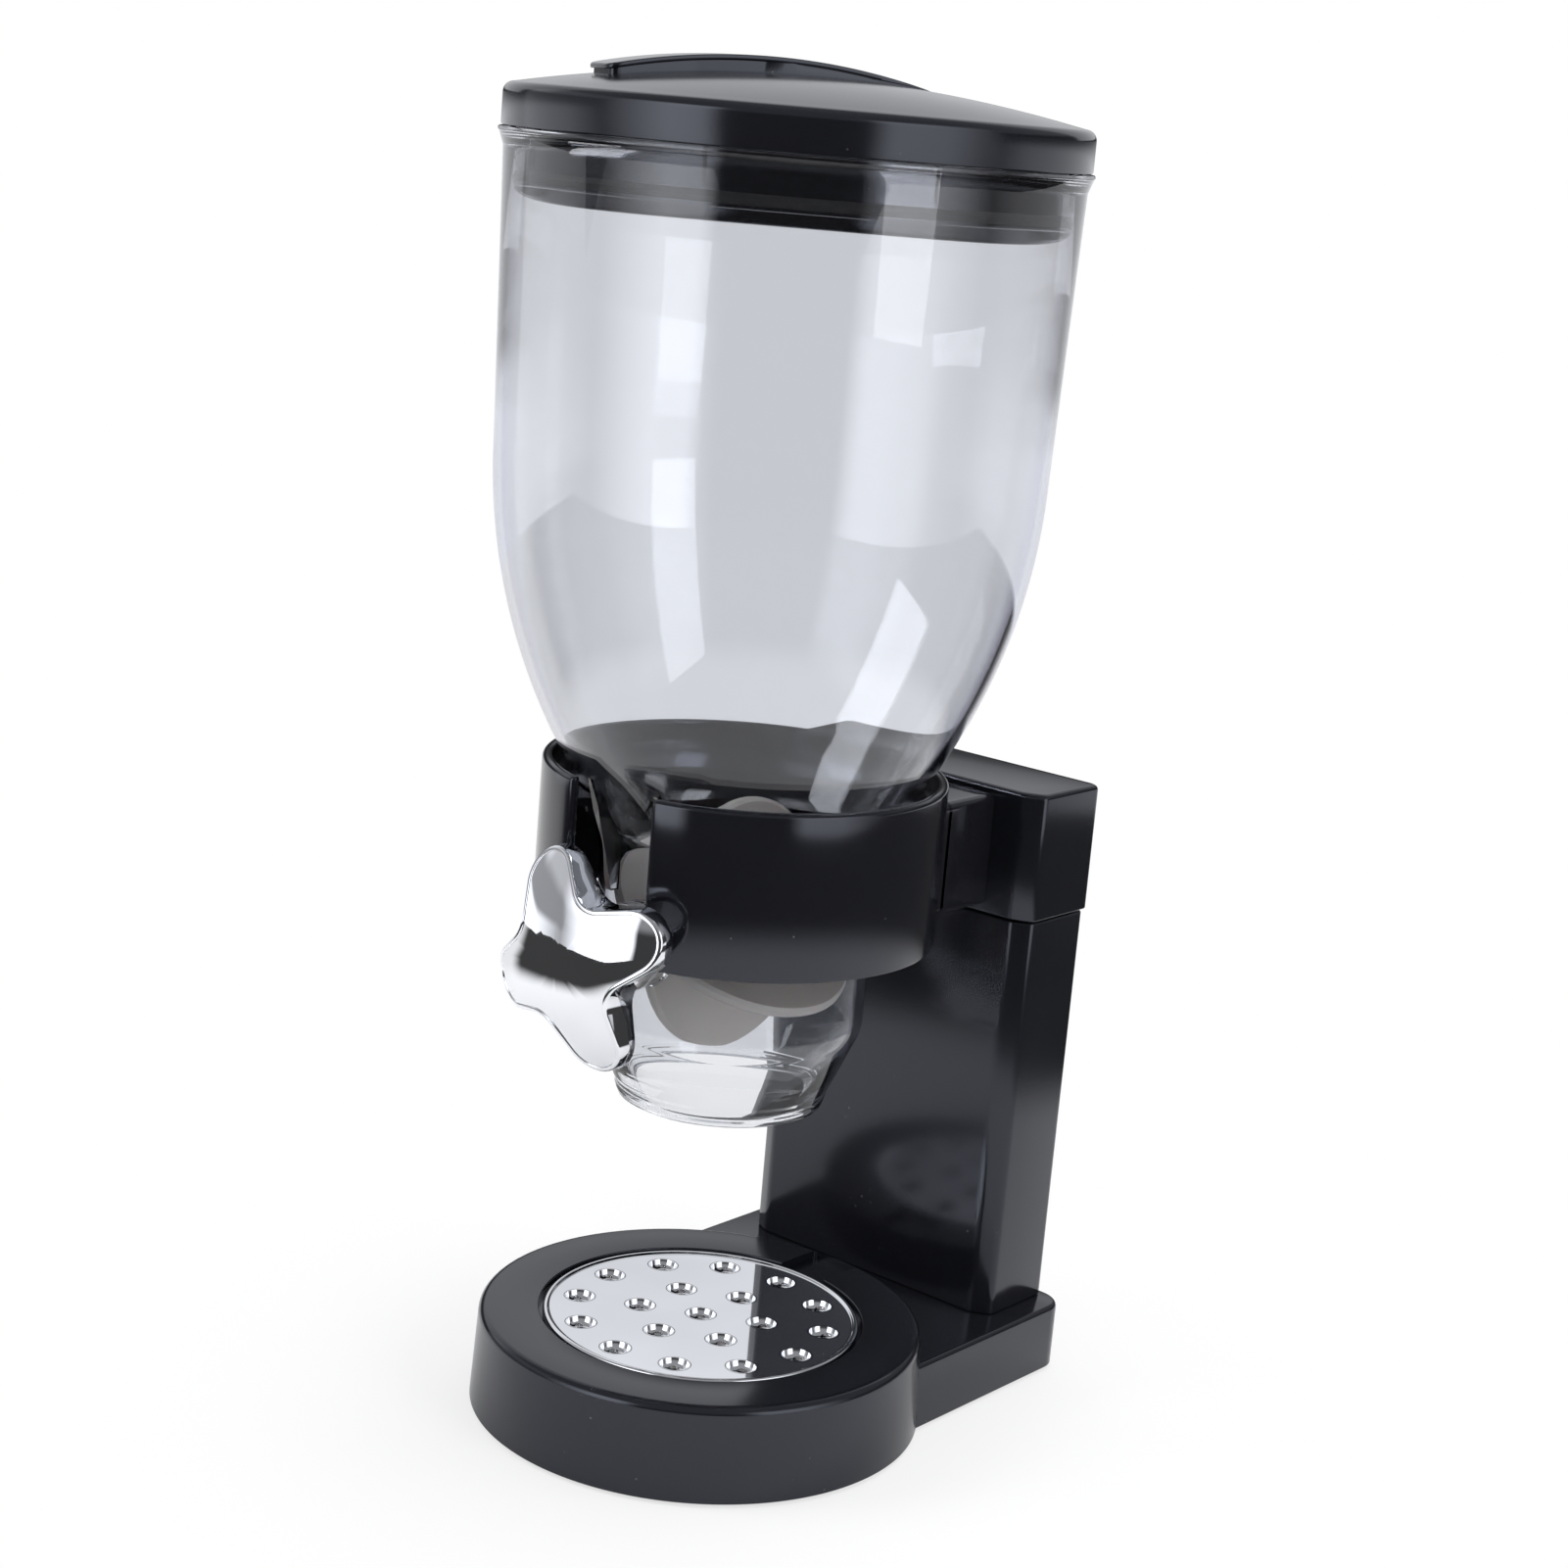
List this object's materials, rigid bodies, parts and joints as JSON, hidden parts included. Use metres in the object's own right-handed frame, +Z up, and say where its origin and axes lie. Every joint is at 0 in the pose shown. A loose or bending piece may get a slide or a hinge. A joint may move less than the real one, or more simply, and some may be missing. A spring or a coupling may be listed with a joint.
{
  "type": "bulk food dispenser",
  "caption": "Gravity bulk food bin: clear canister with a lid and a knob-turned paddle wheel, held in a collar on a column over a round base with a drip tray",
  "frame": {"origin": "on the canister's vertical axis, at the level of the table", "axes": "+Z up; -Y to the front, where the knob is; the column stands at +Y; +X to the right as seen from the front"},
  "size_m": [0.1614, 0.1927, 0.3911],
  "materials": {
    "black_plastic": "satin moulded",
    "gloss_black": "high gloss",
    "clear_plastic": "clear moulded copolyester",
    "silicone": "matt off-white silicone",
    "bush_plastic": "natural acetal",
    "chromed_plastic": "bright chromed",
    "steel": "stainless",
    "rubber": "matt black rubber"
  },
  "bodies": {
    "stand": {"base_disc": "black_plastic", "base_cup": "black_plastic", "base_block": "black_plastic", "base_plate": "black_plastic", "base_feet": "rubber", "plate_screws": "steel", "column": "black_plastic", "column_screws": "steel", "head_block": "black_plastic", "head_screws": "steel", "collar": "gloss_black", "collar_screws": "steel"},
    "tray": {"drip_tray": "chromed_plastic"},
    "bin": {"canister_barrel": "clear_plastic", "canister_bowl": "clear_plastic", "canister_neck": "clear_plastic", "canister_outlet": "clear_plastic", "front_bush": "bush_plastic", "rear_bush": "bush_plastic"},
    "wheel": {"paddle_wheel": "silicone", "wheel_core": "bush_plastic"},
    "knob_shaft": {"shaft": "steel", "thrust_washer": "bush_plastic", "knob": "chromed_plastic", "knob_core": "bush_plastic", "knob_screw": "steel"},
    "lid": {"lid_cap": "black_plastic", "lid_grip": "black_plastic", "lid_plug": "black_plastic", "lid_seal": "rubber"}
  },
  "joints": [
    {"name": "tray_lift", "type": "slide", "parent": "stand", "child": "tray", "axis": [0, 0, 1], "range_m": [0, 0.03]},
    {"name": "bin_lift", "type": "slide", "parent": "stand", "child": "bin", "axis": [0, 0, 1], "range_m": [0, 0.11]},
    {"name": "knob_turn", "type": "hinge", "parent": "bin", "child": "wheel", "pos_m": [0, 0, 0.15], "axis": [0, -1, 0], "continuous": true},
    {"name": "knob_pull", "type": "slide", "parent": "wheel", "child": "knob_shaft", "axis": [0, -1, 0], "range_m": [0, 0.1]},
    {"name": "lid_lift", "type": "slide", "parent": "bin", "child": "lid", "axis": [0, 0, 1], "range_m": [0, 0.04]}
  ]
}
